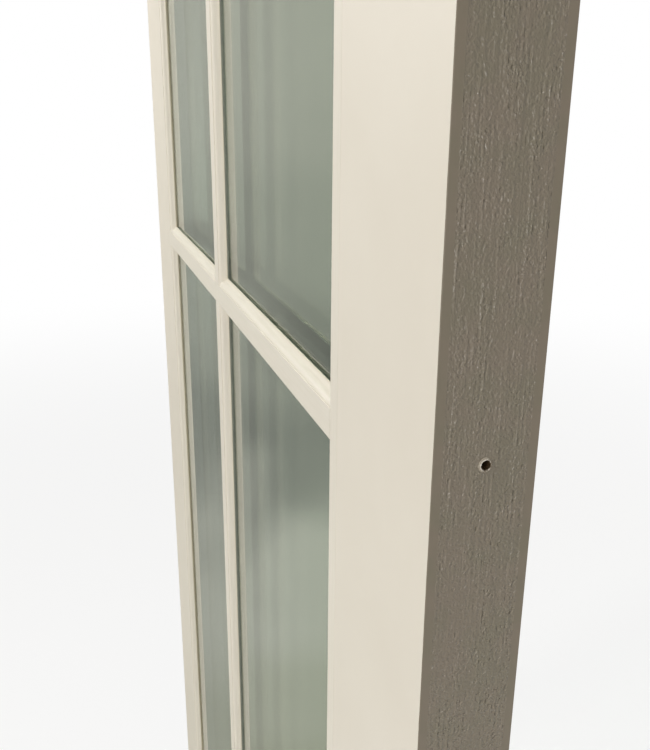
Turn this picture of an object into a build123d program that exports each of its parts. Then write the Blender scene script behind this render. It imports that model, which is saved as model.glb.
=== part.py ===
"""Full-glass exterior door leaf, 36 in by 80 in by 1 3/4 in, as one slab ready to hang.

Engineered stiles and rails (wood cores with hard facings) hold a sealed double-glazed unit between
moulded glazing beads.  Bars of the same moulding are taped to both faces of the glass, so that one
sheet reads as two columns and two rows of panes.

Frame: the origin is the middle of the hinge edge.  +X runs across to the lock edge, +Y from the
outside face to the inside face, +Z up.
"""
import os

from build123d import *

# Leaf
LEAF_WIDTH = 914.0
LEAF_HEIGHT = 2032.0
LEAF_THICKNESS = 44.45
FACING_THICKNESS = 4.0
STILE_WIDTH = 113.0
TOP_RAIL_HEIGHT = 113.0
BOTTOM_RAIL_HEIGHT = 240.0
ARRIS_RADIUS = 0.5
JOINT_CHAMFER = 0.4

# Double-glazed unit and what it stands on
UNIT_THICKNESS = 27.0
PANE_THICKNESS = 4.0
UNIT_CLEARANCE = 5.0
SPACER_WIDTH = 7.0
SPACER_WALL = 0.6
SPACER_INSET = 4.0
BLOCK_LENGTH = 100.0
BLOCK_WALL_GAP = 70.0

# Moulding that the beads and the bars share
MOULDING_RUN = 7.0
MOULDING_ARRIS = 0.5
QUIRK_DEPTH = 0.8
QUIRK_WIDTH = 0.9
OGEE_BULGE = 0.45
FOOT_HEIGHT = 0.6

# Glazing beads and their bedding
LIP_WIDTH = 12.0
MITRE_GAP = 0.2
SEALANT_THICKNESS = 1.2
SEALANT_RECESS = 0.5

# Bars and their tape
BAR_FACE_WIDTH = 17.0
COPE_GAP = 0.2
TAPE_THICKNESS = 1.5
TAPE_RECESS = 1.5
STRIP_GAP = 0.5

# Screw hole in the lock edge
HOLE_DIAMETER = 4.0
HOLE_DEPTH = 25.0
HOLE_ABOVE_BAR = 28.0

# Slack for finding an edge by its place
NEAR = 0.01

# Worked out from the sizes above
HALF_HEIGHT = LEAF_HEIGHT / 2
HALF_THICKNESS = LEAF_THICKNESS / 2
CORE_HALF = HALF_THICKNESS - FACING_THICKNESS
OPENING_LEFT = STILE_WIDTH
OPENING_RIGHT = LEAF_WIDTH - STILE_WIDTH
OPENING_BOTTOM = -HALF_HEIGHT + BOTTOM_RAIL_HEIGHT
OPENING_TOP = HALF_HEIGHT - TOP_RAIL_HEIGHT
OPENING_MID_X = (OPENING_LEFT + OPENING_RIGHT) / 2
OPENING_MID_Z = (OPENING_BOTTOM + OPENING_TOP) / 2
GLASS_DEPTH = (LEAF_THICKNESS - UNIT_THICKNESS) / 2
CAVITY = (PANE_THICKNESS - UNIT_THICKNESS / 2, UNIT_THICKNESS / 2 - PANE_THICKNESS)
BEAD_DEPTH = GLASS_DEPTH - SEALANT_THICKNESS
BAR_DEPTH = GLASS_DEPTH - TAPE_THICKNESS
MOULDING_DEPTH = BAR_DEPTH - FOOT_HEIGHT
BEAD_WIDTH = LIP_WIDTH + MOULDING_RUN
BAR_BASE_WIDTH = BAR_FACE_WIDTH + 2 * MOULDING_RUN
TAPE_WIDTH = BAR_BASE_WIDTH - 2 * TAPE_RECESS
COPE_REACH = MOULDING_ARRIS / 2 - COPE_GAP

EXTERIOR = -1
INTERIOR = 1
SIDES = {"exterior": EXTERIOR, "interior": INTERIOR}


def block(x_range, y_range, z_range):
    """Rectangular solid between pairs of coordinates, given in either order."""
    spans = [sorted(pair) for pair in (x_range, y_range, z_range)]
    size = [high - low for low, high in spans]
    centre = [(low + high) / 2 for low, high in spans]
    return Pos(*centre) * Box(*size)


def depth_range(side, near, far):
    """Y coordinates of a layer that lies between two depths behind one face of the leaf."""
    return side * (HALF_THICKNESS - near), side * (HALF_THICKNESS - far)


def moulding_line(start_u, direction):
    """Edges of the moulding, from the face to BAR_DEPTH: a round arris, a quirk, an ogee and a low foot."""
    arris_start = Vector(start_u - direction * MOULDING_ARRIS, 0)
    arris_end = Vector(start_u, MOULDING_ARRIS)
    quirk_foot = Vector(start_u, QUIRK_DEPTH)
    top = Vector(start_u + direction * QUIRK_WIDTH, QUIRK_DEPTH)
    bottom = Vector(start_u + direction * MOULDING_RUN, MOULDING_DEPTH)
    middle = (top + bottom) / 2
    chord = (bottom - top).normalized()
    outward = Vector(chord.Y, -chord.X) * direction
    swell = (top + middle) / 2 + outward * OGEE_BULGE
    hollow = (middle + bottom) / 2 - outward * OGEE_BULGE
    return [
        TangentArc(arris_start, arris_end, tangent=(direction, 0)),
        Line(arris_end, quirk_foot),
        Line(quirk_foot, top),
        ThreePointArc(top, swell, middle),
        ThreePointArc(middle, hollow, bottom),
        Line(bottom, (bottom.X, BAR_DEPTH)),
    ]


def bead_section():
    """Section of a glazing bead: u runs from the stile towards the glass, v from the face inwards."""
    outline = moulding_line(LIP_WIDTH, 1) + [
        Line((BEAD_WIDTH, BAR_DEPTH), (BEAD_WIDTH, BEAD_DEPTH)),
        Line((BEAD_WIDTH, BEAD_DEPTH), (0, BEAD_DEPTH)),
        Line((0, BEAD_DEPTH), (0, JOINT_CHAMFER)),
        Line((0, JOINT_CHAMFER), (JOINT_CHAMFER, 0)),
        Line((JOINT_CHAMFER, 0), (LIP_WIDTH - MOULDING_ARRIS, 0)),
    ]
    return make_face(outline)


def bar_section():
    """Section of a glazing bar, the same moulding on both sides of a flat face."""
    half_face = BAR_FACE_WIDTH / 2
    half_flat = half_face - MOULDING_ARRIS
    half_base = BAR_BASE_WIDTH / 2
    outline = moulding_line(half_face, 1) + moulding_line(-half_face, -1) + [
        Line((-half_flat, 0), (half_flat, 0)),
        Line((-half_base, BAR_DEPTH), (half_base, BAR_DEPTH)),
    ]
    return make_face(outline)


def run_section(section, side, start, end, inward):
    """Sweep a section straight from start to end, both (x, z) on one face of the leaf."""
    first = Vector(start[0], side * HALF_THICKNESS, start[1])
    last = Vector(end[0], side * HALF_THICKNESS, end[1])
    across = Vector(inward[0], 0, inward[1])
    into_leaf = Vector(0, -side, 0)
    plane = Plane(origin=(first + last) / 2, x_dir=across, z_dir=across.cross(into_leaf))
    return extrude(plane * section, amount=(last - first).length / 2, both=True)


def mitre_prism(outer_start, outer_end, inner_end, inner_start):
    """Prism right through the leaf over a mitred stick's outline, less half the joint at each end.

    The (x, z) corners lie on the mitre lines.
    """
    half_joint = (Vector(*outer_end) - Vector(*outer_start)).normalized() * MITRE_GAP / 2
    starts = [Vector(*corner) + half_joint for corner in (inner_start, outer_start)]
    ends = [Vector(*corner) - half_joint for corner in (outer_end, inner_end)]
    outline = make_face(Polyline(*[(corner.X, 0, corner.Y) for corner in starts + ends], close=True))
    return extrude(outline, amount=LEAF_THICKNESS, dir=(0, 1, 0), both=True)


def stile_cores():
    """Wood cores of the two stiles, with the screw hole in the lock edge."""
    core = (-CORE_HALF, CORE_HALF)
    full_height = (-HALF_HEIGHT, HALF_HEIGHT)
    hole_z = OPENING_MID_Z + HOLE_ABOVE_BAR
    drill = Rot(0, 90, 0) * Cylinder(HOLE_DIAMETER / 2, HOLE_DEPTH)
    hole = Pos(LEAF_WIDTH - HOLE_DEPTH / 2, 0, hole_z) * drill
    return {
        "hinge_stile": block((0, OPENING_LEFT), core, full_height),
        "lock_stile": block((OPENING_RIGHT, LEAF_WIDTH), core, full_height) - hole,
    }


def rail_cores():
    """Wood cores of the top and bottom rails, between the stiles."""
    core = (-CORE_HALF, CORE_HALF)
    between = (OPENING_LEFT, OPENING_RIGHT)
    return {
        "top_rail": block(between, core, (OPENING_TOP, HALF_HEIGHT)),
        "bottom_rail": block(between, core, (-HALF_HEIGHT, OPENING_BOTTOM)),
    }


def face_edges(facing, side, axis, positions):
    """Edges of a facing that lie on the leaf's face, square to an axis, at the given positions."""
    face_y = side * HALF_THICKNESS
    on_face = facing.edges().filter_by_position(Axis.Y, face_y - NEAR, face_y + NEAR)
    found = ShapeList()
    for position in positions:
        found += on_face.filter_by_position(axis, position - NEAR, position + NEAR)
    return found


def facings(name, side):
    """Hard facings of one side: stiles run through, rails butt between them with a fine V joint."""
    layer = depth_range(side, 0, FACING_THICKNESS)
    full_height = (-HALF_HEIGHT, HALF_HEIGHT)
    between = (OPENING_LEFT, OPENING_RIGHT)
    shapes = {}
    for stile, x_range, edge_x in (
        ("hinge_stile", (0, OPENING_LEFT), 0),
        ("lock_stile", (OPENING_RIGHT, LEAF_WIDTH), LEAF_WIDTH),
    ):
        facing = block(x_range, layer, full_height)
        outer = face_edges(facing, side, Axis.X, [edge_x]) + face_edges(facing, side, Axis.Z, full_height)
        shapes[f"{name}_{stile}_facing"] = fillet(outer, ARRIS_RADIUS)
    for rail, z_range, edge_z in (
        ("top_rail", (OPENING_TOP, HALF_HEIGHT), HALF_HEIGHT),
        ("bottom_rail", (-HALF_HEIGHT, OPENING_BOTTOM), -HALF_HEIGHT),
    ):
        facing = block(between, layer, z_range)
        facing = fillet(face_edges(facing, side, Axis.Z, [edge_z]), ARRIS_RADIUS)
        shapes[f"{name}_{rail}_facing"] = chamfer(face_edges(facing, side, Axis.X, between), JOINT_CHAMFER)
    return shapes


def beads(name, side):
    """Four moulded beads that frame the glass on one side, mitred at the corners."""
    outer = [
        (OPENING_LEFT, OPENING_BOTTOM),
        (OPENING_RIGHT, OPENING_BOTTOM),
        (OPENING_RIGHT, OPENING_TOP),
        (OPENING_LEFT, OPENING_TOP),
    ]
    shift = [(1, 1), (-1, 1), (-1, -1), (1, -1)]
    inner = [(x + BEAD_WIDTH * dx, z + BEAD_WIDTH * dz) for (x, z), (dx, dz) in zip(outer, shift)]
    members = [("sill", (0, 1)), ("lock_side", (-1, 0)), ("head", (0, -1)), ("hinge_side", (1, 0))]
    shapes = {}
    for index, (member, inward) in enumerate(members):
        following = (index + 1) % len(members)
        stick = run_section(bead_section(), side, outer[index], outer[following], inward)
        mitre = mitre_prism(outer[index], outer[following], inner[following], inner[index])
        shapes[f"{name}_{member}_bead"] = stick & mitre
    return shapes


def bars(name, side, bead_shapes):
    """One upright bar and two half crossbars, each coped over the moulding that it runs into.

    A bar's end reaches a little under the round arris that it meets, and stays COPE_GAP clear of it.
    """
    lip = LIP_WIDTH - COPE_REACH
    bottom, top = OPENING_BOTTOM + lip, OPENING_TOP - lip
    upright = run_section(bar_section(), side, (OPENING_MID_X, bottom), (OPENING_MID_X, top), (1, 0))
    upright -= Pos(0, 0, COPE_GAP) * bead_shapes[f"{name}_sill_bead"]
    upright -= Pos(0, 0, -COPE_GAP) * bead_shapes[f"{name}_head_bead"]
    shapes = {f"{name}_upright_bar": upright}
    left, right = OPENING_LEFT + lip, OPENING_RIGHT - lip
    for half, outer_x, outward in (("hinge_side", left, -1), ("lock_side", right, 1)):
        inner_x = OPENING_MID_X + outward * (BAR_FACE_WIDTH / 2 - COPE_REACH)
        ends = (outer_x, OPENING_MID_Z), (inner_x, OPENING_MID_Z)
        crossbar = run_section(bar_section(), side, *ends, (0, 1))
        crossbar -= Pos(-outward * COPE_GAP, 0, 0) * bead_shapes[f"{name}_{half}_bead"]
        crossbar -= Pos(outward * COPE_GAP, 0, 0) * upright
        shapes[f"{name}_{half}_crossbar"] = crossbar
    return shapes


def bar_tape(side):
    """Dark foam tape that holds the bars to the glass, as strips that stop short of each other."""
    layer = depth_range(side, BAR_DEPTH, GLASS_DEPTH)
    stop = BEAD_WIDTH + STRIP_GAP
    half = TAPE_WIDTH / 2
    upright_x = (OPENING_MID_X - half, OPENING_MID_X + half)
    cross_z = (OPENING_MID_Z - half, OPENING_MID_Z + half)
    return Compound(
        [
            block(upright_x, layer, (OPENING_BOTTOM + stop, OPENING_TOP - stop)),
            block((OPENING_LEFT + stop, upright_x[0] - STRIP_GAP), layer, cross_z),
            block((upright_x[1] + STRIP_GAP, OPENING_RIGHT - stop), layer, cross_z),
        ]
    )


def strips_round(layer, inset, width):
    """Four strips round the opening, inset from its sides; the level ones stop short of the uprights."""
    left, right = OPENING_LEFT + inset, OPENING_RIGHT - inset
    bottom, top = OPENING_BOTTOM + inset, OPENING_TOP - inset
    between = (left + width + STRIP_GAP, right - width - STRIP_GAP)
    return Compound(
        [
            block((left, left + width), layer, (bottom, top)),
            block((right - width, right), layer, (bottom, top)),
            block(between, layer, (bottom, bottom + width)),
            block(between, layer, (top - width, top)),
        ]
    )


def bead_sealant(side):
    """Bedding sealant between the beads and the glass, a little back from the beads' edges."""
    layer = depth_range(side, BEAD_DEPTH, GLASS_DEPTH)
    return strips_round(layer, UNIT_CLEARANCE, BEAD_WIDTH - SEALANT_RECESS - UNIT_CLEARANCE)


def spacer_bar(x_range, z_range, run):
    """Hollow spacer bar that fills the cavity between the panes, open at both ends of its run."""
    tube = block(x_range, CAVITY, z_range)
    return offset(tube, amount=-SPACER_WALL, openings=tube.faces().filter_by(run))


def glazed_unit():
    """Two panes, the spacer bars that part them, the seal round their edge and the blocks below."""
    left, right = OPENING_LEFT + UNIT_CLEARANCE, OPENING_RIGHT - UNIT_CLEARANCE
    bottom, top = OPENING_BOTTOM + UNIT_CLEARANCE, OPENING_TOP - UNIT_CLEARANCE
    shapes = {}
    for name, side in SIDES.items():
        layer = depth_range(side, GLASS_DEPTH, GLASS_DEPTH + PANE_THICKNESS)
        shapes[f"{name}_pane"] = block((left, right), layer, (bottom, top))

    near, far = SPACER_INSET, SPACER_INSET + SPACER_WIDTH
    height = (bottom + near, top - near)
    width = (left + far, right - far)
    shapes["hinge_side_spacer"] = spacer_bar((left + near, left + far), height, Axis.Z)
    shapes["lock_side_spacer"] = spacer_bar((right - far, right - near), height, Axis.Z)
    shapes["sill_spacer"] = spacer_bar(width, (bottom + near, bottom + far), Axis.X)
    shapes["head_spacer"] = spacer_bar(width, (top - far, top - near), Axis.X)
    shapes["edge_seal"] = strips_round(CAVITY, UNIT_CLEARANCE, SPACER_INSET)

    unit = (-UNIT_THICKNESS / 2, UNIT_THICKNESS / 2)
    starts = (left + BLOCK_WALL_GAP, right - BLOCK_WALL_GAP - BLOCK_LENGTH)
    shapes["setting_blocks"] = Compound(
        [block((start, start + BLOCK_LENGTH), unit, (OPENING_BOTTOM, bottom)) for start in starts]
    )
    return shapes


def door_leaf():
    """Every piece of the leaf by name."""
    shapes = stile_cores() | rail_cores() | glazed_unit()
    for name, side in SIDES.items():
        bead_shapes = beads(name, side)
        shapes |= facings(name, side) | bead_shapes | bars(name, side, bead_shapes)
        shapes[f"{name}_bar_tape"] = bar_tape(side)
        shapes[f"{name}_bead_sealant"] = bead_sealant(side)
    return shapes


os.makedirs("parts", exist_ok=True)
for node, shape in door_leaf().items():
    export_step(shape, f"parts/{node}.step")
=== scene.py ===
"""Looks of a full-glass exterior door leaf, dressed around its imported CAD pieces.

Every object is in metres, in the leaf's own frame: the origin is the middle of the hinge edge, +X runs
across to the lock edge, +Y from the outside face to the inside face, +Z up.
"""
import logging
import math
from abc import ABC, abstractmethod
from dataclasses import dataclass
from enum import Enum

import bpy
from mathutils import Matrix, Vector


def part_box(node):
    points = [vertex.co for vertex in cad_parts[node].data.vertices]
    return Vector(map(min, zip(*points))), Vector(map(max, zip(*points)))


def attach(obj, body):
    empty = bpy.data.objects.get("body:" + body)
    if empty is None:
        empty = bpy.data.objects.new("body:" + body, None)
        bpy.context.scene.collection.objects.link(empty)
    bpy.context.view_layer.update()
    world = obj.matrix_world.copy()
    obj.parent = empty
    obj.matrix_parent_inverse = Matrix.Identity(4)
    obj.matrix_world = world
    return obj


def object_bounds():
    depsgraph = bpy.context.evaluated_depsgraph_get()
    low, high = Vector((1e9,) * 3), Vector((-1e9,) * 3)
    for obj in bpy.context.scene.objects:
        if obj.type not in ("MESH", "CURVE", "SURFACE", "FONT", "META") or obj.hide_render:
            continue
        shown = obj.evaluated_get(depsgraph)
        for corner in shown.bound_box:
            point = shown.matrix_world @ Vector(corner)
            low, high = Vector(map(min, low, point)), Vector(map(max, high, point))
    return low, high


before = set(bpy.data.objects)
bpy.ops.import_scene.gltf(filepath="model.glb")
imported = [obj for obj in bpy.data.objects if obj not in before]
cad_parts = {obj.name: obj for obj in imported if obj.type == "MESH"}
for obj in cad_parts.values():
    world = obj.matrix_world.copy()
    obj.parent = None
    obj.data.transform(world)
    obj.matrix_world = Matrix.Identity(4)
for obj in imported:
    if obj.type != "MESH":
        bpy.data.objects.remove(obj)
cad_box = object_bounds()

LOG = logging.getLogger("door_leaf")
MM = 0.001
BODY = "root"
WHITE = "FFFFFF"
PAINT_IOR = 1.5
STREAK_WARP = 0.1

# Sockets of a Mix node that blends two colours.
SHARE, FIRST, SECOND, BLEND = 0, 6, 7, 2

# Limits of a Map Range node, in the order in which this file gives them.
LIMITS = ("From Min", "From Max", "To Min", "To Max")

Tree = bpy.types.NodeTree
Socket = bpy.types.NodeSocket


class Side(Enum):
    """The two faces of the leaf."""

    EXTERIOR = "exterior"
    INTERIOR = "interior"


class Grain(Enum):
    """The axis that a core's fibres or a moulding's streaks run along."""

    UPRIGHT = 2
    LEVEL = 0


@dataclass(frozen=True)
class Leaf:
    """Outer sizes of the leaf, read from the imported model.

    Attributes:
        low: Lowest corner of its box.
        high: Highest corner of its box.
    """

    low: Vector
    high: Vector

    @property
    def middle(self) -> Vector:
        """Middle of the leaf's box."""
        return (self.low + self.high) / 2

    @property
    def half(self) -> Vector:
        """Half the leaf's width, thickness and height."""
        return (self.high - self.low) / 2

    @property
    def crossbar_level(self) -> float:
        """Height of the crossbar's middle."""
        low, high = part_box("exterior_lock_side_crossbar")
        return (low.z + high.z) / 2


LEAF = Leaf(*cad_box)


def linear(hex_colour: str) -> tuple[float, float, float, float]:
    """Turn an sRGB hex colour to linear RGBA.

    Args:
        hex_colour: Six hex digits, such as "E2DACB".

    Returns:
        Linear red, green and blue from 0 to 1, and an alpha of 1.
    """
    channels = [int(hex_colour[i:i + 2], 16) / 255 for i in (0, 2, 4)]
    red, green, blue = [c / 12.92 if c <= 0.04045 else ((c + 0.055) / 1.055) ** 2.4 for c in channels]
    return red, green, blue, 1.0


def per_metre(spacing_mm: float) -> float:
    """Scale of a pattern whose features lie about spacing_mm apart, on coordinates in metres."""
    return 1.0 / (spacing_mm * MM)


def blank_material(name: str) -> bpy.types.Material:
    """Make a material with an empty node tree.

    Args:
        name: The material's name.

    Returns:
        The material.
    """
    material = bpy.data.materials.new(name)
    material.use_nodes = True
    material.node_tree.nodes.clear()
    return material


def add_node(
    tree: Tree, kind: str, values: dict | None = None, links: dict | None = None, **settings: object
) -> bpy.types.Node:
    """Add one node with its settings, socket values and incoming links.

    Args:
        tree: The node tree that gets the node.
        kind: The node's Blender type name.
        values: Socket name or index to the value that it holds.
        links: Socket name or index to the output socket that feeds it.
        settings: The node's own properties.

    Returns:
        The new node.
    """
    node = tree.nodes.new(kind)
    for name, value in settings.items():
        setattr(node, name, value)
    for socket, value in (values or {}).items():
        node.inputs[socket].default_value = value
    for socket, source in (links or {}).items():
        tree.links.new(source, node.inputs[socket])
    return node


def streaks(
    tree: Tree, place: Socket, run: Grain, size_mm: tuple[float, float], detail: float, lean: float = 0.0
) -> Socket:
    """Make an uneven pattern that is drawn out along one axis.

    Args:
        tree: The material's node tree.
        place: Object coordinates.
        run: The axis that the pattern runs along.
        size_mm: Width and length of a feature.
        detail: How many finer layers the pattern has.
        lean: Share of a feature's width by which its crests lean to the outside face.

    Returns:
        A socket that wanders about 0.5.
    """
    width_mm, length_mm = size_mm
    scale = [per_metre(width_mm)] * 3
    scale[run.value] = per_metre(length_mm)
    stretched = add_node(tree, "ShaderNodeMapping", {"Scale": scale}, {"Vector": place}).outputs[0]
    noise = {"Scale": 1.0, "Detail": detail, "Distortion": STREAK_WARP}
    plain = add_node(tree, "ShaderNodeTexNoise", noise, {"Vector": stretched}).outputs["Fac"]
    if not lean:
        return plain
    crests = add_node(tree, "ShaderNodeCombineXYZ", links={"Y": plain}).outputs[0]
    leaning = add_node(
        tree,
        "ShaderNodeVectorMath",
        {1: (0.0, lean, 0.0)},
        {0: crests, 2: stretched},
        operation="MULTIPLY_ADD",
    ).outputs[0]
    return add_node(tree, "ShaderNodeTexNoise", noise, {"Vector": leaning}).outputs["Fac"]


@dataclass(frozen=True)
class EdgeCoat:
    """The taupe paint on the leaf's edges, which drifts between brown and olive.

    Attributes:
        brown: Colour at one end of the drift.
        olive: Colour at the other end.
        drift_mm: Size of a stretch of one tone.
        drift_span: Values of the pattern at which the paint is all brown and all olive.
    """

    brown: str = "877B6A"
    olive: str = "827966"
    drift_mm: float = 16.0
    drift_span: tuple[float, float] = (0.38, 0.62)

    def colour(self, tree: Tree, place: Socket) -> Socket:
        """Mix the paint's colour.

        Args:
            tree: The material's node tree.
            place: Object coordinates.

        Returns:
            The colour socket.
        """
        noise = {"Scale": per_metre(self.drift_mm), "Detail": 3.0}
        drift = add_node(tree, "ShaderNodeTexNoise", noise, {"Vector": place}).outputs["Fac"]
        limits = dict(zip(LIMITS, self.drift_span))
        share = add_node(tree, "ShaderNodeMapRange", limits, {"Value": drift}).outputs[0]
        tones = {FIRST: linear(self.brown), SECOND: linear(self.olive)}
        return add_node(tree, "ShaderNodeMix", tones, {SHARE: share}, data_type="RGBA").outputs[BLEND]


@dataclass(frozen=True)
class Finish(ABC):
    """A surface finish that makes one node material.

    Attributes:
        name: The material's name.
    """

    name: str

    def material(self) -> bpy.types.Material:
        """Make the material, whose fine relief keeps the flanks that grazing light brightens.

        Returns:
            The material with its node tree.
        """
        material = blank_material(self.name)
        material.cycles.use_bump_map_correction = False
        surface = self.surface(material.node_tree)
        add_node(material.node_tree, "ShaderNodeOutputMaterial", links={"Surface": surface})
        return material

    @abstractmethod
    def surface(self, tree: Tree) -> Socket:
        """Add the finish's nodes.

        Args:
            tree: The material's node tree.

        Returns:
            The shader that the material shows.
        """


@dataclass(frozen=True)
class EggshellPaint(Finish):
    """Eggshell alkyd sprayed on smooth fibreboard: even cream, broken highlights, a faint orange peel.

    The leaf's outer edges carry the darker edge paint, which stops at a nearly straight line on the arris.

    Attributes:
        face: Colour of the cream.
        face_shade: The darker cream that it drifts to.
        edge: The edge paint.
        roughness: How dull the sheen is.
        paint_line_mm: Least distance of the paint line from the leaf's outer edge.
        line_wander_mm: How far the line strays from that.
        wander_spacing_mm: Distance between strays.
        mottle_spacing_mm: Size of a stretch of one cream.
        peel_spacing_mm: Distance between the dimples of the orange peel.
        peel_depth_mm: Depth of the dimples.
    """

    face: str = "E4DCCD"
    face_shade: str = "DED5C5"
    edge: EdgeCoat = EdgeCoat()
    roughness: float = 0.42
    paint_line_mm: float = 0.1
    line_wander_mm: float = 0.2
    wander_spacing_mm: float = 14.0
    mottle_spacing_mm: float = 55.0
    peel_spacing_mm: float = 2.2
    peel_depth_mm: float = 0.022

    def surface(self, tree: Tree) -> Socket:
        """Put cream on the faces and edge paint beyond the paint line.

        Args:
            tree: The material's node tree.

        Returns:
            The paint's shader.
        """
        place = add_node(tree, "ShaderNodeTexCoord").outputs["Object"]
        noise = {"Scale": per_metre(self.mottle_spacing_mm), "Detail": 3.0}
        mottle = add_node(tree, "ShaderNodeTexNoise", noise, {"Vector": place}).outputs["Fac"]
        creams = {FIRST: linear(self.face), SECOND: linear(self.face_shade)}
        cream = add_node(tree, "ShaderNodeMix", creams, {SHARE: mottle}, data_type="RGBA").outputs[BLEND]
        coats = {SHARE: self.edge_mask(tree, place), FIRST: cream, SECOND: self.edge.colour(tree, place)}
        colour = add_node(tree, "ShaderNodeMix", links=coats, data_type="RGBA").outputs[BLEND]
        dimples = {"Scale": per_metre(self.peel_spacing_mm), "Detail": 1.0}
        peel = add_node(tree, "ShaderNodeTexNoise", dimples, {"Vector": place}).outputs["Fac"]
        depth = {"Distance": self.peel_depth_mm * MM}
        bump = add_node(tree, "ShaderNodeBump", depth, {"Height": peel}).outputs[0]
        return add_node(
            tree,
            "ShaderNodeBsdfPrincipled",
            {"Roughness": self.roughness, "IOR": PAINT_IOR},
            {"Base Color": colour, "Normal": bump},
        ).outputs[0]

    def edge_mask(self, tree: Tree, place: Socket) -> Socket:
        """Make a mask that is 1 on the leaf's outer edges.

        Args:
            tree: The material's node tree.
            place: Object coordinates.

        Returns:
            A socket that is 1 beyond the paint line and 0 on the faces.
        """
        noise = {"Scale": per_metre(self.wander_spacing_mm)}
        wander = add_node(tree, "ShaderNodeTexNoise", noise, {"Vector": place}).outputs["Fac"]
        line = {1: self.line_wander_mm * MM, 2: self.paint_line_mm * MM}
        reach = add_node(tree, "ShaderNodeMath", line, {0: wander}, operation="MULTIPLY_ADD").outputs[0]
        centred = add_node(
            tree, "ShaderNodeVectorMath", {1: LEAF.middle}, {0: place}, operation="SUBTRACT"
        ).outputs[0]
        away = add_node(tree, "ShaderNodeVectorMath", links={0: centred}, operation="ABSOLUTE").outputs[0]
        split = add_node(tree, "ShaderNodeSeparateXYZ", links={0: away})
        masks = []
        for axis, half in (("X", LEAF.half.x), ("Z", LEAF.half.z)):
            grown = add_node(
                tree, "ShaderNodeMath", links={0: split.outputs[axis], 1: reach}, operation="ADD"
            ).outputs[0]
            beyond = add_node(tree, "ShaderNodeMath", {1: half}, {0: grown}, operation="GREATER_THAN")
            masks.append(beyond.outputs[0])
        return add_node(
            tree, "ShaderNodeMath", links={0: masks[0], 1: masks[1]}, operation="MAXIMUM"
        ).outputs[0]


@dataclass(frozen=True)
class SatinPaint(Finish):
    """Satin paint on milled mouldings: cream, a soft sheen, faint streaks lengthwise, painted shade by the
    glass.

    Attributes:
        run: The axis that the moulding runs along.
        face: Colour of the paint.
        streak: Colour of the faint streaks.
        foot: Painted shade: the darker colour of the paint down by the glass.
        roughness: How dull the sheen is.
        shade_start_depth_mm: Depth behind the leaf's face where the painted shade starts.
        shade_full_depth_mm: Depth where the painted shade is whole.
        streak_mm: Width and length of a streak.
        streak_span: Values of the pattern between which a streak sets in.
        streak_height_mm: Height of the streaks.
    """

    run: Grain = Grain.UPRIGHT
    face: str = "E4DCCD"
    streak: str = "E1D9C9"
    foot: str = "D3C8B3"
    roughness: float = 0.36
    shade_start_depth_mm: float = 4.8
    shade_full_depth_mm: float = 7.4
    streak_mm: tuple[float, float] = (1.6, 45.0)
    streak_span: tuple[float, float] = (0.42, 0.68)
    streak_height_mm: float = 0.01

    def surface(self, tree: Tree) -> Socket:
        """Streak the cream and darken it with the depth behind the leaf's face, as painted shade by the
        glass.

        Args:
            tree: The material's node tree.

        Returns:
            The paint's shader.
        """
        place = add_node(tree, "ShaderNodeTexCoord").outputs["Object"]
        across = add_node(tree, "ShaderNodeSeparateXYZ", links={0: place}).outputs["Y"]
        height = add_node(tree, "ShaderNodeMath", links={0: across}, operation="ABSOLUTE").outputs[0]
        # Painted shade: the paint darkens with depth towards the glass, where the slot under the moulding
        # is in shade.
        levels = [LEAF.half.y - depth_mm * MM for depth_mm in (self.shade_start_depth_mm, self.shade_full_depth_mm)]
        limits = dict(zip(LIMITS, levels))
        deep = add_node(tree, "ShaderNodeMapRange", limits, {"Value": height}).outputs[0]
        marks = streaks(tree, place, self.run, self.streak_mm, detail=2.0)
        limits = dict(zip(LIMITS, self.streak_span))
        share = add_node(tree, "ShaderNodeMapRange", limits, {"Value": marks}).outputs[0]
        tones = {FIRST: linear(self.face), SECOND: linear(self.streak)}
        coat = add_node(tree, "ShaderNodeMix", tones, {SHARE: share}, data_type="RGBA").outputs[BLEND]
        # Painted shade: the darker foot colour down by the glass.
        dull = {SECOND: linear(self.foot)}
        colour = add_node(
            tree, "ShaderNodeMix", dull, {SHARE: deep, FIRST: coat}, data_type="RGBA"
        ).outputs[BLEND]
        rise = {"Distance": self.streak_height_mm * MM}
        bump = add_node(tree, "ShaderNodeBump", rise, {"Height": marks}).outputs[0]
        return add_node(
            tree,
            "ShaderNodeBsdfPrincipled",
            {"Roughness": self.roughness, "IOR": PAINT_IOR},
            {"Base Color": colour, "Normal": bump},
        ).outputs[0]


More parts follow.
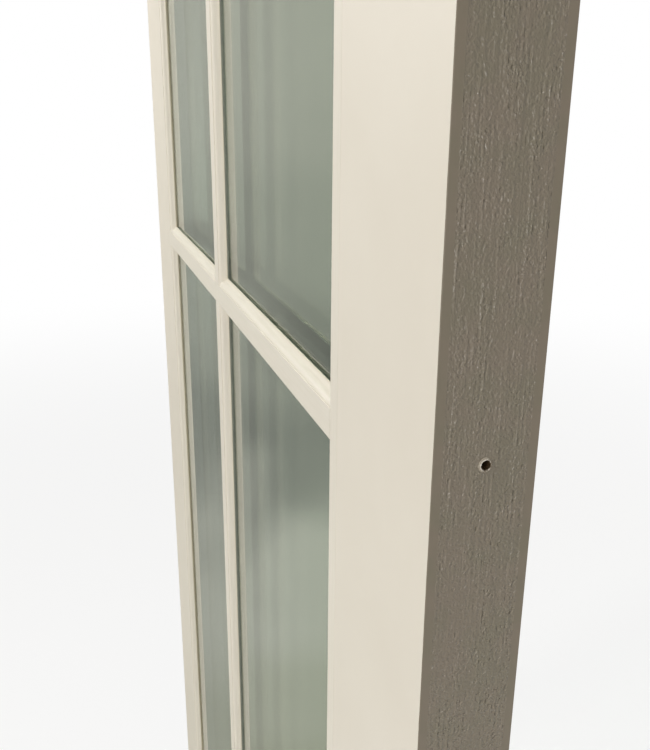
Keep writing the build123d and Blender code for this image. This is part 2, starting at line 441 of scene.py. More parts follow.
@dataclass(frozen=True)
class PaintedOpenGrain(Finish):
    """Satin taupe paint over open-grained wood: light from the side catches its pores and raised fibres.

    Real pores are about 0.3 mm wide. They are drawn about four times as wide, so that they show.

    Attributes:
        grain: The axis that the fibres run along.
        coat: The paint.
        raw_wood: Colour of the bare wood in the screw hole.
        roughness: How dull the sheen is.
        fibre_mm: Width and length of a raised fibre.
        fuzz_mm: Width and length of the fine unevenness on the fibres.
        pore_mm: Width and length of an open pore.
        zone_mm: Width and length of a stretch of coarser or finer wood.
        fibre_height_mm: Height of the fibres.
        fuzz_height_mm: Height of the fine unevenness.
        pore_depth_mm: Depth of the pores.
        pore_span: Values of the pattern from a pore's rim to its bottom.
        zone_span: Values of the pattern from the finest wood to the coarsest.
        fine_share: Share of the relief that the finest wood has.
        lean: Share of their width by which fibres, fuzz and pores lean to the outside face.
        hole_axis: Y and Z of the screw hole's axis, if the core has one.
        hole_radius_mm: Radius within which that hole's wood is bare.
    """

    grain: Grain = Grain.UPRIGHT
    coat: EdgeCoat = EdgeCoat()
    raw_wood: str = "6E5A42"
    roughness: float = 0.3
    fibre_mm: tuple[float, float] = (1.2, 26.0)
    fuzz_mm: tuple[float, float] = (0.9, 1.1)
    pore_mm: tuple[float, float] = (1.2, 1.7)
    zone_mm: tuple[float, float] = (8.0, 36.0)
    fibre_height_mm: float = 0.52
    fuzz_height_mm: float = 0.42
    pore_depth_mm: float = 0.32
    pore_span: tuple[float, float] = (0.44, 0.24)
    zone_span: tuple[float, float] = (0.36, 0.6)
    fine_share: float = 0.55
    lean: float = 0.8
    hole_axis: tuple[float, float] | None = None
    hole_radius_mm: float = 0.0

    def surface(self, tree: Tree) -> Socket:
        """Lay the paint over fibres and pores, and leave raw wood in the screw hole.

        Args:
            tree: The material's node tree.

        Returns:
            The painted wood's shader.
        """
        place = add_node(tree, "ShaderNodeTexCoord").outputs["Object"]
        colour = self.coat.colour(tree, place)
        if self.hole_axis is not None:
            colour = self.bare_hole(tree, place, colour)
        relief = self.relief_mm(tree, place)
        bump = add_node(tree, "ShaderNodeBump", {"Distance": MM}, {"Height": relief}).outputs[0]
        return add_node(
            tree,
            "ShaderNodeBsdfPrincipled",
            {"Roughness": self.roughness, "IOR": PAINT_IOR},
            {"Base Color": colour, "Normal": bump},
        ).outputs[0]

    def relief_mm(self, tree: Tree, place: Socket) -> Socket:
        """Add up the heights of the pores, the fibres and the fine unevenness.

        Args:
            tree: The material's node tree.
            place: Object coordinates.

        Returns:
            A socket with the height in millimetres.
        """
        zone = streaks(tree, place, self.grain, self.zone_mm, detail=2.0)
        limits = dict(zip(LIMITS, (*self.zone_span, self.fine_share, 1.0)))
        coarse = add_node(tree, "ShaderNodeMapRange", limits, {"Value": zone}).outputs[0]
        dents = streaks(tree, place, self.grain, self.pore_mm, detail=0.0, lean=self.lean)
        limits = dict(zip(LIMITS, (*self.pore_span, 0.0, -self.pore_depth_mm)))
        height = add_node(tree, "ShaderNodeMapRange", limits, {"Value": dents}).outputs[0]
        layers = ((self.fibre_mm, self.fibre_height_mm), (self.fuzz_mm, self.fuzz_height_mm))
        for size_mm, height_mm in layers:
            crests = streaks(tree, place, self.grain, size_mm, detail=0.5, lean=self.lean)
            height = add_node(
                tree, "ShaderNodeMath", {1: height_mm}, {0: crests, 2: height}, operation="MULTIPLY_ADD"
            ).outputs[0]
        return add_node(
            tree, "ShaderNodeMath", links={0: height, 1: coarse}, operation="MULTIPLY"
        ).outputs[0]

    def bare_hole(self, tree: Tree, place: Socket, paint: Socket) -> Socket:
        """Show raw wood on the wall of the screw hole.

        Args:
            tree: The material's node tree.
            place: Object coordinates.
            paint: The paint's colour.

        Returns:
            The colour with the hole's wall bare.
        """
        centre = {1: (0.0, *self.hole_axis)}
        across = {1: (0.0, 1.0, 1.0)}
        radius = {1: self.hole_radius_mm * MM}
        wood = {SECOND: linear(self.raw_wood)}
        offset = add_node(
            tree, "ShaderNodeVectorMath", centre, {0: place}, operation="SUBTRACT"
        ).outputs[0]
        flat = add_node(tree, "ShaderNodeVectorMath", across, {0: offset}, operation="MULTIPLY").outputs[0]
        away = add_node(tree, "ShaderNodeVectorMath", links={0: flat}, operation="LENGTH").outputs["Value"]
        inside = add_node(tree, "ShaderNodeMath", radius, {0: away}, operation="LESS_THAN").outputs[0]
        return add_node(
            tree, "ShaderNodeMix", wood, {SHARE: inside, FIRST: paint}, data_type="RGBA"
        ).outputs[BLEND]


@dataclass(frozen=True)
class ChippedPaintWithPaintedLight(Finish):
    """Paint cracked off a torn rim, with painted light: taupe skin, pale primer chips, dark fibres where
    it tore.

    Attributes:
        skin: Colour of the paint that holds.
        primer_and_highlight: Colour of the chips round the crest, pale primer that also paints the
            highlight.
        worn_and_highlight: Colour of the chips lower down the flank, which also paints the highlight
            there.
        torn_and_shade: Colour of the bare fibres, which also paints the shade on the side away from the
            chips.
        roughness: How dull all of it is.
        chip_spacing_mm: Size of a chip.
        chip_height_mm: Height of its broken edge.
        centre: Middle of the rim.
        chip_and_light_towards: The side of the rim that is chipped most, where the pale chips also paint
            the highlight.
        side_mm: Distances towards that side from the least chipped place to the most.
        side_gain: What those places add to the pattern.
        chip_and_highlight_span: Values of the pattern between which the paint is chipped off, pale as
            painted highlight.
        torn_and_shade_span: Values of the pattern between which fibres are bare and dark, as painted
            shade.
        crest_mm: Distances from the middle between which chips turn from the crest's colour to the
            flank's.
    """

    skin: str = "857968"
    primer_and_highlight: str = "F0E8D8"
    worn_and_highlight: str = "A89D8B"
    torn_and_shade: str = "57493A"
    roughness: float = 0.45
    chip_spacing_mm: float = 0.55
    chip_height_mm: float = 0.3
    centre: tuple[float, float, float] = (0.0, 0.0, 0.0)
    chip_and_light_towards: tuple[float, float, float] = (0.0, -0.85, 0.53)
    side_mm: tuple[float, float] = (-1.0, 1.6)
    side_gain: tuple[float, float] = (0.06, 0.4)
    chip_and_highlight_span: tuple[float, float] = (0.62, 0.7)
    torn_and_shade_span: tuple[float, float] = (0.44, 0.36)
    crest_mm: tuple[float, float] = (2.35, 2.75)

    def surface(self, tree: Tree) -> Socket:
        """Chip the upper outside of the rim and a few other places, with torn fibres between, so that the
        chips paint a highlight there and the fibres a shade on the far side.

        Args:
            tree: The material's node tree.

        Returns:
            The rim's shader.
        """
        place = add_node(tree, "ShaderNodeTexCoord").outputs["Object"]
        noise = {"Scale": per_metre(self.chip_spacing_mm), "Detail": 2.0}
        ragged = add_node(tree, "ShaderNodeTexNoise", noise, {"Vector": place}).outputs["Fac"]
        rise = {"Distance": self.chip_height_mm * MM}
        bump = add_node(tree, "ShaderNodeBump", rise, {"Height": ragged}).outputs[0]
        return add_node(
            tree,
            "ShaderNodeBsdfPrincipled",
            {"Roughness": self.roughness, "IOR": PAINT_IOR},
            {"Base Color": self.colour(tree, place, ragged), "Normal": bump},
        ).outputs[0]

    def colour(self, tree: Tree, place: Socket, ragged: Socket) -> Socket:
        """Mix skin, chips and bare fibres, whose pale and dark also paint highlight and shade.

        Args:
            tree: The material's node tree.
            place: Object coordinates.
            ragged: The pattern of chips.

        Returns:
            The colour socket.
        """
        middle = {1: self.centre}
        offset = add_node(
            tree, "ShaderNodeVectorMath", middle, {0: place}, operation="SUBTRACT"
        ).outputs[0]
        # Painted light: towards the upper outside pale chips gather as a painted highlight; on the far
        # side dark torn fibres gather as a painted shade.
        towards = {1: self.chip_and_light_towards}
        side = add_node(
            tree, "ShaderNodeVectorMath", towards, {0: offset}, operation="DOT_PRODUCT"
        ).outputs["Value"]
        limits = dict(zip(LIMITS, (*(reach_mm * MM for reach_mm in self.side_mm), *self.side_gain)))
        gain = add_node(tree, "ShaderNodeMapRange", limits, {"Value": side}).outputs[0]
        state = add_node(tree, "ShaderNodeMath", links={0: ragged, 1: gain}, operation="ADD").outputs[0]
        away = add_node(
            tree, "ShaderNodeVectorMath", links={0: offset}, operation="LENGTH"
        ).outputs["Value"]
        outer, chip, bare = [
            add_node(tree, "ShaderNodeMapRange", dict(zip(LIMITS, span)), {"Value": source}).outputs[0]
            for span, source in (
                ([crest_mm * MM for crest_mm in self.crest_mm], away),
                (self.chip_and_highlight_span, state),
                (self.torn_and_shade_span, state),
            )
        ]
        # Painted highlight: pale chip colours, palest at the crest.
        chips = {FIRST: linear(self.primer_and_highlight), SECOND: linear(self.worn_and_highlight)}
        pale = add_node(tree, "ShaderNodeMix", chips, {SHARE: outer}, data_type="RGBA").outputs[BLEND]
        skin = {FIRST: linear(self.skin)}
        painted = add_node(
            tree, "ShaderNodeMix", skin, {SHARE: chip, SECOND: pale}, data_type="RGBA"
        ).outputs[BLEND]
        # Painted shade: dark bare fibres, most on the side away from the chips.
        torn_and_shade = {SECOND: linear(self.torn_and_shade)}
        return add_node(
            tree, "ShaderNodeMix", torn_and_shade, {SHARE: bare, FIRST: painted}, data_type="RGBA"
        ).outputs[BLEND]


@dataclass(frozen=True)
class FloatGlass(Finish):
    """Clear float glass with a low-emissivity coat: a grey-green cast, and sharp mirroring at low angles.

    Attributes:
        tint: Colour of the light that a pane lets through.
        ior: Index of refraction.
    """

    tint: str = "D4DAD3"
    ior: float = 1.52

    def surface(self, tree: Tree) -> Socket:
        """Let the lamps light what stands behind the glass.

        Args:
            tree: The material's node tree.

        Returns:
            The glass's shader.
        """
        tint = linear(self.tint)
        glass = add_node(
            tree,
            "ShaderNodeBsdfPrincipled",
            {"Base Color": tint, "Roughness": 0.0, "IOR": self.ior, "Transmission Weight": 1.0},
        ).outputs[0]
        clear = add_node(tree, "ShaderNodeBsdfTransparent", {"Color": tint}).outputs[0]
        shadow = add_node(tree, "ShaderNodeLightPath").outputs["Is Shadow Ray"]
        return add_node(tree, "ShaderNodeMixShader", links={0: shadow, 1: glass, 2: clear}).outputs[0]


@dataclass(frozen=True)
class MillAluminium(Finish):
    """Roll-formed aluminium, as it leaves the mill: pale grey metal with fine lines along the strip.

    Real rolling lines are finer than a tenth of a millimetre. They are drawn wider, so that they show.

    Attributes:
        metal: Colour of the metal.
        roughness: Least and greatest roughness across the lines.
        line_spacing_mm: Distance between lines.
        line_stretch: How many times longer than that a line is.
    """

    metal: str = "C9C9C6"
    roughness: tuple[float, float] = (0.3, 0.5)
    line_spacing_mm: float = 0.8
    line_stretch: float = 50.0

    def surface(self, tree: Tree) -> Socket:
        """Vary the metal's gloss across the rolling lines.

        Args:
            tree: The material's node tree.

        Returns:
            The metal's shader.
        """
        place = add_node(tree, "ShaderNodeTexCoord").outputs["Object"]
        drawn = {"Scale": (1.0 / self.line_stretch, 1.0, 1.0 / self.line_stretch)}
        across = add_node(tree, "ShaderNodeMapping", drawn, {"Vector": place}).outputs[0]
        noise = {"Scale": per_metre(self.line_spacing_mm)}
        lines = add_node(tree, "ShaderNodeTexNoise", noise, {"Vector": across}).outputs["Fac"]
        limits = dict(zip(LIMITS, (0.0, 1.0, *self.roughness)))
        rough = add_node(tree, "ShaderNodeMapRange", limits, {"Value": lines}).outputs[0]
        metal = {"Base Color": linear(self.metal), "Metallic": 1.0}
        return add_node(tree, "ShaderNodeBsdfPrincipled", metal, {"Roughness": rough}).outputs[0]


@dataclass(frozen=True)
class SoftStrip(Finish):
    """Foam, sealant or rubber: matt, with cells or a skin that break the surface up.

    Real cells are about a third as wide as they are drawn, too fine to show.

    Attributes:
        colour: The material's colour.
        shade: Its colour in the hollows.
        roughness: How matt it is.
        cell_spacing_mm: Distance between cells.
        cell_depth_mm: Depth of the cells.
        ior: Index of refraction.
    """

    colour: str
    shade: str
    roughness: float = 0.85
    cell_spacing_mm: float = 0.9
    cell_depth_mm: float = 0.05
    ior: float = 1.45

    def surface(self, tree: Tree) -> Socket:
        """Give the matt material a fine uneven skin.

        Args:
            tree: The material's node tree.

        Returns:
            The strip's shader.
        """
        place = add_node(tree, "ShaderNodeTexCoord").outputs["Object"]
        noise = {"Scale": per_metre(self.cell_spacing_mm), "Detail": 2.0}
        cells = add_node(tree, "ShaderNodeTexNoise", noise, {"Vector": place}).outputs["Fac"]
        tones = {FIRST: linear(self.colour), SECOND: linear(self.shade)}
        colour = add_node(tree, "ShaderNodeMix", tones, {SHARE: cells}, data_type="RGBA").outputs[BLEND]
        depth = {"Distance": self.cell_depth_mm * MM}
        bump = add_node(tree, "ShaderNodeBump", depth, {"Height": cells}).outputs[0]
        return add_node(
            tree,
            "ShaderNodeBsdfPrincipled",
            {"Roughness": self.roughness, "IOR": self.ior},
            {"Base Color": colour, "Normal": bump},
        ).outputs[0]


def dress(nodes: list[str], finish: Finish) -> dict[str, str]:
    """Give CAD nodes a finish.

    Args:
        nodes: Names of the nodes.
        finish: The finish that all of them share.

    Returns:
        Each node and the name of its finish.
    """
    material = finish.material()
    for name in nodes:
        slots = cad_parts[name].data.materials
        slots.clear()
        slots.append(material)
    return dict.fromkeys(nodes, finish.name)


@dataclass(frozen=True)
class EdgeHole:
    """The screw hole in the lock edge, with the rim of paint and fibres that the screw pushed up.

    Attributes:
        radius_mm: Radius of the hole.
        bare_growth: Radius of the bare wood over the hole's radius.
        above_bar_mm: Height of its axis above the crossbar's middle.
        root_mm: How deep in the hole the rim starts.
        crest_mm: How far the crest stands out of the edge.
        foot_mm: How deep the rim's outer foot is let into the edge.
        mouth_share: Share of the crest's height at which the mouth starts to widen.
        mouth_growth: Mouth radius over the hole's radius.
        crest_growth: Crest radius over the hole's radius.
        brow_share: Share of the crest's height by which it has dropped at its outer shoulder.
        foot_growth: Foot radius over the crest's radius.
        points: Points round the rim before it is smoothed.
        torn_share: Share of the crest's height above which the paint tore.
        tear_mm: How far points stray there.
        tear_evenness: How alike those strays are in length.
        tear_seed: Seed of those strays.
        slot: Name of the rim's material slot; not used.
    """

    radius_mm: float = 2.0
    bare_growth: float = 1.03
    above_bar_mm: float = 28.0
    root_mm: float = 0.8
    crest_mm: float = 0.6
    foot_mm: float = 0.08
    mouth_share: float = 0.7
    mouth_growth: float = 1.05
    crest_growth: float = 1.28
    brow_share: float = 0.25
    foot_growth: float = 1.42
    points: int = 40
    torn_share: float = 0.3
    tear_mm: float = 0.28
    tear_evenness: float = 0.8
    tear_seed: int = 11
    slot: str = "edge_wood"

    @property
    def centre(self) -> Vector:
        """Middle of the hole's mouth, on the lock edge."""
        return Vector((LEAF.high.x, 0.0, LEAF.crossbar_level + self.above_bar_mm * MM))

    def build(self) -> bpy.types.Object:
        """Model the raised rim: a circle in the hole, drawn out over the crest, then torn unevenly.

        Returns:
            The rim as a closed mesh at its place.
        """
        bpy.ops.object.select_all(action="DESELECT")
        bpy.ops.mesh.primitive_circle_add(
            vertices=self.points,
            radius=self.radius_mm * MM,
            location=self.centre - Vector((self.root_mm * MM, 0.0, 0.0)),
            rotation=(0.0, math.pi / 2, 0.0),
        )
        rim = bpy.context.object
        rim.name = "screw_hole_rim"
        bpy.ops.object.transform_apply(location=True, rotation=True, scale=True)
        self.draw_out()
        self.tear(rim)
        smooth = rim.modifiers.new("smooth", "SUBSURF")
        smooth.levels = smooth.render_levels = 2
        bpy.ops.object.modifier_apply(modifier=smooth.name)
        bpy.ops.object.shade_smooth()
        return rim

    def draw_out(self) -> None:
        """Draw the circle out of the hole, over the crest and down to the foot, and close the ring."""
        half_way = (1.0 + self.crest_growth) / 2
        bpy.ops.object.mode_set(mode="EDIT")
        bpy.ops.mesh.select_all(action="SELECT")
        for forward_mm, growth in (
            (self.root_mm + self.crest_mm * self.mouth_share, self.mouth_growth),
            (self.crest_mm * (1.0 - self.mouth_share), half_way / self.mouth_growth),
            (-self.crest_mm * self.brow_share, self.crest_growth / half_way),
            (-self.crest_mm * (1.0 - self.brow_share) - self.foot_mm, self.foot_growth),
        ):
            bpy.ops.mesh.extrude_region_move(TRANSFORM_OT_translate={"value": (forward_mm * MM, 0.0, 0.0)})
            bpy.ops.transform.resize(value=(1.0, growth, growth), center_override=self.centre)
        bpy.ops.mesh.select_all(action="SELECT")
        bpy.ops.mesh.region_to_loop()
        bpy.ops.mesh.bridge_edge_loops()
        bpy.ops.object.mode_set(mode="OBJECT")

    def tear(self, rim: bpy.types.Object) -> None:
        """Let the points round the crest stray, and turn all faces outwards.

        Args:
            rim: The rim's closed mesh.
        """
        torn_above = self.centre.x + self.crest_mm * MM * self.torn_share
        for vertex in rim.data.vertices:
            vertex.select = vertex.co.x > torn_above
        bpy.ops.object.mode_set(mode="EDIT")
        bpy.ops.transform.vertex_random(
            offset=self.tear_mm * MM, uniform=self.tear_evenness, normal=0.0, seed=self.tear_seed
        )
        bpy.ops.mesh.select_all(action="SELECT")
        bpy.ops.mesh.normals_make_consistent(inside=False)
        bpy.ops.object.mode_set(mode="OBJECT")

    def dress(self, rim: bpy.types.Object) -> dict[str, str]:
        """Give the rim its chipped paint, with its painted highlight and shade, and let it ride with the
        leaf.

        Args:
            rim: The rim's mesh.

        Returns:
            The rim and its finish.
        """
        paint = ChippedPaintWithPaintedLight("chipped_taupe_paint_and_painted_light", centre=tuple(self.centre))
        rim.data.materials.append(paint.material())
        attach(rim, BODY)
        return {rim.name: paint.name}


@dataclass(frozen=True)
class Cores:
    """Wood cores of the stiles and rails.

    Attributes:
        stiles: The upright cores.
        rails: The level cores.
    """

    stiles: tuple[str, ...] = ("hinge_stile", "lock_stile")
    rails: tuple[str, ...] = ("top_rail", "bottom_rail")

    def dress(self, hole: EdgeHole) -> dict[str, str]:
        """Paint the cores along their grain.

        Args:
            hole: The screw hole in the lock stile.

        Returns:
            Each core and its finish.
        """
        upright = PaintedOpenGrain(
            "taupe_paint_on_upright_grain",
            Grain.UPRIGHT,
            hole_axis=(hole.centre.y, hole.centre.z),
            hole_radius_mm=hole.radius_mm * hole.bare_growth,
        )
        level = PaintedOpenGrain("taupe_paint_on_level_grain", Grain.LEVEL)
        return dress(list(self.stiles), upright) | dress(list(self.rails), level)


@dataclass(frozen=True)
class Facings:
    """Hard facings on both sides of the stiles and rails.

    Attributes:
        members: The stiles and rails that they cover.
    """

    members: tuple[str, ...] = ("hinge_stile", "lock_stile", "top_rail", "bottom_rail")

    def dress(self) -> dict[str, str]:
        """Paint the facings, and return each one's finish."""
        nodes = [f"{side.value}_{member}_facing" for side in Side for member in self.members]
        return dress(nodes, EggshellPaint("cream_eggshell_paint"))


@dataclass(frozen=True)
class GlazingTrim:
    """Beads, bars, and the sealant and tape that bed them on the glass.

    Attributes:
        upright: Beads and bars that run up the leaf.
        level: Beads and bars that run across it.
    """

    upright: tuple[str, ...] = ("lock_side_bead", "hinge_side_bead", "upright_bar")
    level: tuple[str, ...] = ("sill_bead", "head_bead", "hinge_side_crossbar", "lock_side_crossbar")

    def dress(self) -> dict[str, str]:
        """Paint the trim and finish its bedding.

        Returns:
            Each piece of trim or bedding and its finish.
        """
        upright = [f"{side.value}_{stick}" for side in Side for stick in self.upright]
        level = [f"{side.value}_{stick}" for side in Side for stick in self.level]
        tapes = [f"{side.value}_bar_tape" for side in Side]
        sealants = [f"{side.value}_bead_sealant" for side in Side]
        sealant = SoftStrip(
            "beige_butyl_sealant",
            "C0B298",
            "AC9E84",
            roughness=0.55,
            cell_spacing_mm=2.5,
            cell_depth_mm=0.08,
        )
        return (
            dress(upright, SatinPaint("cream_satin_on_upright_moulding", Grain.UPRIGHT))
            | dress(level, SatinPaint("cream_satin_on_level_moulding", Grain.LEVEL))
            | dress(tapes, SoftStrip("grey_foam_tape", "9C9C92", "8C8C82"))
            | dress(sealants, sealant)
        )


@dataclass(frozen=True)
class GlazedUnit:
    """The sealed double-glazed unit and the blocks that it stands on.

    Attributes:
        spacers: The hollow bars between the panes.
    """

    spacers: tuple[str, ...] = ("hinge_side_spacer", "lock_side_spacer", "sill_spacer", "head_spacer")

    def dress(self) -> dict[str, str]:
        """Finish the glass, the spacers, the edge seal and the blocks.

        Returns:
            Each piece and its finish.
        """
        panes = [f"{side.value}_pane" for side in Side]
        seal = SoftStrip(
            "black_polysulphide_seal",
            "2C2C2A",
            "20201F",
            roughness=0.6,
            cell_spacing_mm=3.0,
            cell_depth_mm=0.1,
        )
        return (
            dress(panes, FloatGlass("low_e_float_glass"))
            | dress(list(self.spacers), MillAluminium("mill_aluminium"))
            | dress(["edge_seal"], seal)
            | dress(["setting_blocks"], SoftStrip("neoprene_rubber", "242424", "1A1A1A", roughness=0.7))
        )


@dataclass(frozen=True)
class PhotoCamera:
    """A pinhole camera that stands where the photograph was taken.

    Attributes:
        from_corner_mm: Place from the outside arris of the lock edge, level with the crossbar's middle.
        yaw_deg: Turn to the left from looking straight at the outside face.
        pitch_deg: Tilt downwards.
        roll_deg: Turn about the line of sight.
        focal_px: Focal length in pixels of the photograph.
        frame_px: Width and height of the photograph.
    """

    from_corner_mm: tuple[float, float, float] = (252.5, -121.1, 155.9)
    yaw_deg: float = 72.6
    pitch_deg: float = 18.04
    roll_deg: float = 0.44
    focal_px: float = 815.3
    frame_px: tuple[int, int] = (650, 750)

    def build(self) -> bpy.types.Object:
        """Make the scene's camera.

        Returns:
            The camera object.
        """
        corner = Vector((LEAF.high.x, LEAF.low.y, LEAF.crossbar_level))
        yaw, pitch, roll = (math.radians(turn) for turn in (self.yaw_deg, self.pitch_deg, self.roll_deg))
        forward = math.cos(pitch)
        ahead = Vector((-math.sin(yaw) * forward, math.cos(yaw) * forward, -math.sin(pitch)))
        right = Vector((math.cos(yaw), math.sin(yaw), 0.0))
        up = right.cross(ahead)
        turned_right = right * math.cos(roll) + up * math.sin(roll)
        turned_up = up * math.cos(roll) - right * math.sin(roll)
        data = bpy.data.cameras.new("photo_camera")
        data.sensor_width = 36.0
        data.lens = self.focal_px / max(self.frame_px) * data.sensor_width
        data.clip_start = 0.01
        camera = bpy.data.objects.new("photo_camera", data)
        bpy.context.scene.collection.objects.link(camera)
        rotation = Matrix((turned_right, turned_up, -ahead)).transposed().to_4x4()
        camera.matrix_world = Matrix.Translation(corner + Vector(self.from_corner_mm) * MM) @ rotation
        bpy.context.scene.camera = camera
        return camera


@dataclass(frozen=True)
class Lamp:
    """A square soft lamp.

    Attributes:
        name: The lamp's name.
        watts: Its power.
        size: Its side in metres.
        place: Where it hangs.
    """

    name: str
    watts: float
    size: float
    place: tuple[float, float, float]

    def build(self, target: Vector) -> None:
        """Hang the lamp, turned to a target.

        Args:
            target: The point that it shines at.
        """
        data = bpy.data.lights.new(self.name, "AREA")
        data.energy = self.watts
        data.size = self.size
        lamp = bpy.data.objects.new(self.name, data)
        bpy.context.scene.collection.objects.link(lamp)
        lamp.location = self.place
        lamp.rotation_euler = (target - lamp.location).to_track_quat("-Z", "Y").to_euler()


def seen_rays(tree: Tree) -> Socket:
    """Make a mask of the rays that the eye, mirrors and glass send.

    Args:
        tree: The node tree.

    Returns:
        A socket that is 1 for camera, glossy and transmission rays.
    """
    path = add_node(tree, "ShaderNodeLightPath").outputs
    seen = path["Is Camera Ray"]
    for ray in ("Is Glossy Ray", "Is Transmission Ray"):
        either = {0: seen, 1: path[ray]}
        seen = add_node(tree, "ShaderNodeMath", links=either, operation="MAXIMUM").outputs[0]
    return seen


@dataclass(frozen=True)
class GreyCard:
    """A leaning grey card beyond the hinge edge, seen only in and through the glass.

    Attributes:
        tones: Height in metres and colour of each tone, from the floor up.
        blotch: Size in metres of the uneven stretches of the tones.
        blotch_shift: How far a stretch moves its tone up or down, over its size.
        lift_mm: Gap between the card and the floor.
        foot: X of its lower edge.
        head: X of its upper edge.
        top: Z of its upper edge.
        half_width: Half its width.
        full_width: Half the width over which it is fully toned; beyond that it fades to white.
        shade: Share of its brightness in line with the leaf.
        shade_width: Distance to either side over which that shade fades.
    """

    tones: tuple[tuple[float, str], ...] = (
        (-1.0, "B9BBAA"), (-0.6, "CFD0C4"), (-0.32, "9C9E96"), (-0.05, "B6B8AD"), (0.45, "CBCBC0"),
    )
    blotch: float = 0.22
    blotch_shift: float = 2.5
    lift_mm: float = 2.0
    foot: float = -0.08
    head: float = -0.62
    top: float = 1.3
    half_width: float = 0.8
    full_width: float = 0.35
    shade: float = 0.7
    shade_width: float = 0.22

    def build(self) -> None:
        """Lean the card and hide it from the camera and the lamps."""
        bottom = LEAF.low.z + self.lift_mm * MM
        rise = self.top - bottom
        lean = math.atan2(self.foot - self.head, rise)
        middle = Vector(((self.foot + self.head) / 2, 0.0, (bottom + self.top) / 2))
        bpy.ops.object.select_all(action="DESELECT")
        tilt = (0.0, math.pi / 2 - lean, 0.0)
        bpy.ops.mesh.primitive_plane_add(size=1.0, location=middle, rotation=tilt)
        card = bpy.context.object
        card.name = "studio_card"
        card.scale = (rise / math.cos(lean), 2 * self.half_width, 1.0)
        bpy.ops.object.transform_apply(location=True, rotation=True, scale=True)
        card.data.materials.append(self.material())
        card.visible_camera = False
        card.visible_diffuse = False
        card.visible_shadow = False

    def material(self) -> bpy.types.Material:
        """Make the card's glow, toned by height, white at the sides and shaded in line with the leaf.

        Returns:
            The card's material.
        """
        material = blank_material("studio_card")
        tree = material.node_tree
        place = add_node(tree, "ShaderNodeTexCoord").outputs["Object"]
        split = add_node(tree, "ShaderNodeSeparateXYZ", links={0: place}).outputs
        aside = add_node(tree, "ShaderNodeMath", links={0: split["Y"]}, operation="ABSOLUTE").outputs[0]
        fade, strength = [
            add_node(
                tree,
                "ShaderNodeMapRange",
                dict(zip(LIMITS, span)),
                {"Value": aside},
                interpolation_type="SMOOTHSTEP",
            ).outputs[0]
            for span in ((self.full_width, self.half_width), (0.0, self.shade_width, self.shade, 1.0))
        ]
        toned = {SHARE: fade, FIRST: self.tone(tree, place, split["Z"])}
        white = {SECOND: linear(WHITE)}
        colour = add_node(tree, "ShaderNodeMix", white, toned, data_type="RGBA").outputs[BLEND]
        light = {"Color": colour, "Strength": strength}
        glow = add_node(tree, "ShaderNodeEmission", links=light).outputs[0]
        add_node(tree, "ShaderNodeOutputMaterial", links={"Surface": glow})
        return material

    def tone(self, tree: Tree, place: Socket, height: Socket) -> Socket:
        """Run through the tones from the floor up, unevenly.

        Args:
            tree: The card's node tree.
            place: Object coordinates.
            height: Their Z.

        Returns:
            The tone's colour.
        """
        noise = {"Scale": 1.0 / self.blotch, "Detail": 1.5}
        uneven = add_node(tree, "ShaderNodeTexNoise", noise, {"Vector": place}).outputs["Fac"]
        shift = {1: self.blotch * self.blotch_shift}
        shifted = add_node(
            tree, "ShaderNodeMath", shift, {0: uneven, 2: height}, operation="MULTIPLY_ADD"
        ).outputs[0]
        low, high = self.tones[0][0], self.tones[-1][0]
        limits = dict(zip(LIMITS, (low + self.blotch, high + self.blotch)))
        along = add_node(tree, "ShaderNodeMapRange", limits, {"Value": shifted}).outputs[0]
        ramp = add_node(tree, "ShaderNodeValToRGB", links={0: along})
        ramp.color_ramp.interpolation = "EASE"
        stops = ramp.color_ramp.elements
        while len(stops) < len(self.tones):
            stops.new(0.5)
        for stop, (tone_height, tone) in zip(stops, self.tones):
            stop.position = (tone_height - low) / (high - low)
            stop.color = linear(tone)
        return ramp.outputs[0]


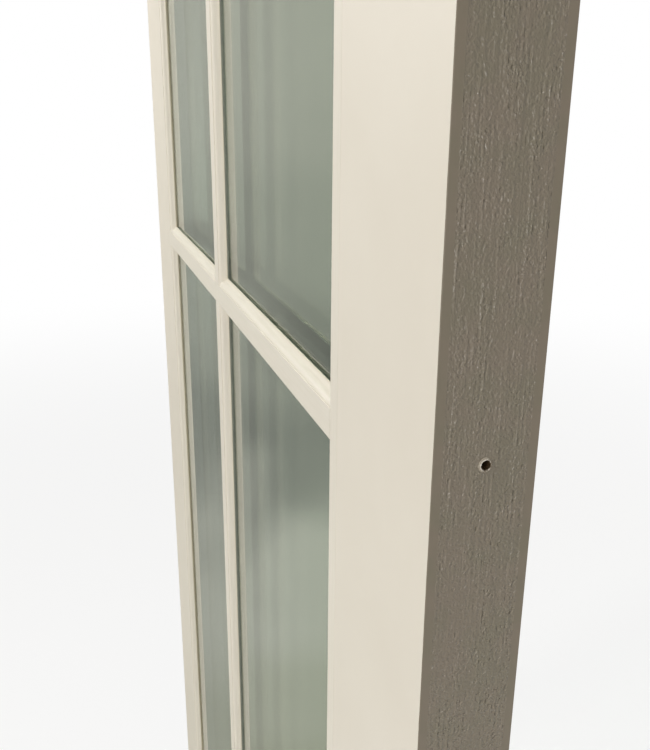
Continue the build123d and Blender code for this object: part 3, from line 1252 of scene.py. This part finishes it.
@dataclass(frozen=True)
class Studio:
    """Pale floor, soft lamps, a white surround and the grey card that the glass mirrors.

    Attributes:
        floor: Colour of the floor.
        floor_size: Side of the floor in metres.
        near_glow: Share of plain white in the floor by the leaf, to the eye and in mirrors.
        fade: Distances from the leaf, in metres, where that share starts to rise and where it is whole.
        fill: Strength of the surround as light.
        outside_gain: How much stronger that light is from straight outside, and weaker from inside.
        lamps: The soft lamps.
        card: The grey card.
    """

    floor: str = "CFCEC9"
    floor_size: float = 40.0
    near_glow: float = 0.8
    fade: tuple[float, float] = (1.2, 5.0)
    fill: float = 0.25
    outside_gain: float = 0.35
    lamps: tuple[Lamp, ...] = (
        Lamp("raking_lamp", 161.0, 0.8, (1.4, -4.5, 4.0)),
        Lamp("edge_lamp", 13.0, 0.25, (3.1, -0.6, -0.2)),
        Lamp("hinge_side_lamp", 19.0, 0.8, (-0.9, -1.6, 1.0)),
        Lamp("back_lamp", 85.0, 1.6, (0.2, 2.5, 2.6)),
    )
    card: GreyCard = GreyCard()

    def build(self) -> None:
        """Set the whole stage."""
        self.build_floor()
        self.build_surround()
        for lamp in self.lamps:
            lamp.build(Vector((LEAF.high.x, 0.0, 0.0)))
        self.card.build()
        bpy.context.scene.view_settings.view_transform = "Standard"

    def build_floor(self) -> None:
        """Lay a floor under the leaf that looks nearly white and keeps the leaf's shadow."""
        bpy.ops.object.select_all(action="DESELECT")
        bpy.ops.mesh.primitive_plane_add(size=self.floor_size, location=(LEAF.middle.x, 0.0, LEAF.low.z))
        plane = bpy.context.object
        plane.name = "studio_floor"
        material = blank_material("studio_floor")
        tree = material.node_tree
        paper = add_node(tree, "ShaderNodeBsdfDiffuse", {"Color": linear(self.floor)}).outputs[0]
        glow = add_node(tree, "ShaderNodeEmission", {"Color": linear(WHITE), "Strength": 1.0}).outputs[0]
        place = add_node(tree, "ShaderNodeTexCoord").outputs["Object"]
        away = add_node(
            tree, "ShaderNodeVectorMath", links={0: place}, operation="LENGTH"
        ).outputs["Value"]
        limits = dict(zip(LIMITS, (*self.fade, self.near_glow, 1.0)))
        white = add_node(
            tree, "ShaderNodeMapRange", limits, {"Value": away}, interpolation_type="SMOOTHSTEP"
        ).outputs[0]
        share = add_node(
            tree, "ShaderNodeMath", links={0: white, 1: seen_rays(tree)}, operation="MULTIPLY"
        ).outputs[0]
        look = add_node(tree, "ShaderNodeMixShader", links={0: share, 1: paper, 2: glow}).outputs[0]
        add_node(tree, "ShaderNodeOutputMaterial", links={"Surface": look})
        plane.data.materials.append(material)

    def build_surround(self) -> None:
        """Make the surround white to the eye, in mirrors and through glass, and softer as a light."""
        world = bpy.data.worlds.new("studio_surround")
        bpy.context.scene.world = world
        world.use_nodes = True
        tree = world.node_tree
        tree.nodes.clear()
        towards = add_node(tree, "ShaderNodeTexCoord").outputs["Generated"]
        inside = add_node(tree, "ShaderNodeSeparateXYZ", links={0: towards}).outputs["Y"]
        slope = {1: -self.fill * self.outside_gain, 2: self.fill}
        soft = add_node(tree, "ShaderNodeMath", slope, {0: inside}, operation="MULTIPLY_ADD").outputs[0]
        strength = add_node(
            tree, "ShaderNodeMix", {"B": 1.0}, {"Factor": seen_rays(tree), "A": soft}, data_type="FLOAT"
        ).outputs[0]
        white = {"Color": linear(WHITE)}
        light = add_node(tree, "ShaderNodeBackground", white, {"Strength": strength}).outputs[0]
        add_node(tree, "ShaderNodeOutputWorld", links={"Surface": light})


def main() -> None:
    """Build and dress the leaf, then set the stage."""
    logging.basicConfig(level=logging.INFO, format="%(name)s: %(message)s")
    hole = EdgeHole()
    pieces = Cores().dress(hole) | Facings().dress() | GlazingTrim().dress() | GlazedUnit().dress()
    pieces |= hole.dress(hole.build())
    for piece, finish in pieces.items():
        LOG.info("%s: %s", piece, finish)
    PhotoCamera().build()
    Studio().build()


if __name__ == "__main__":
    main()
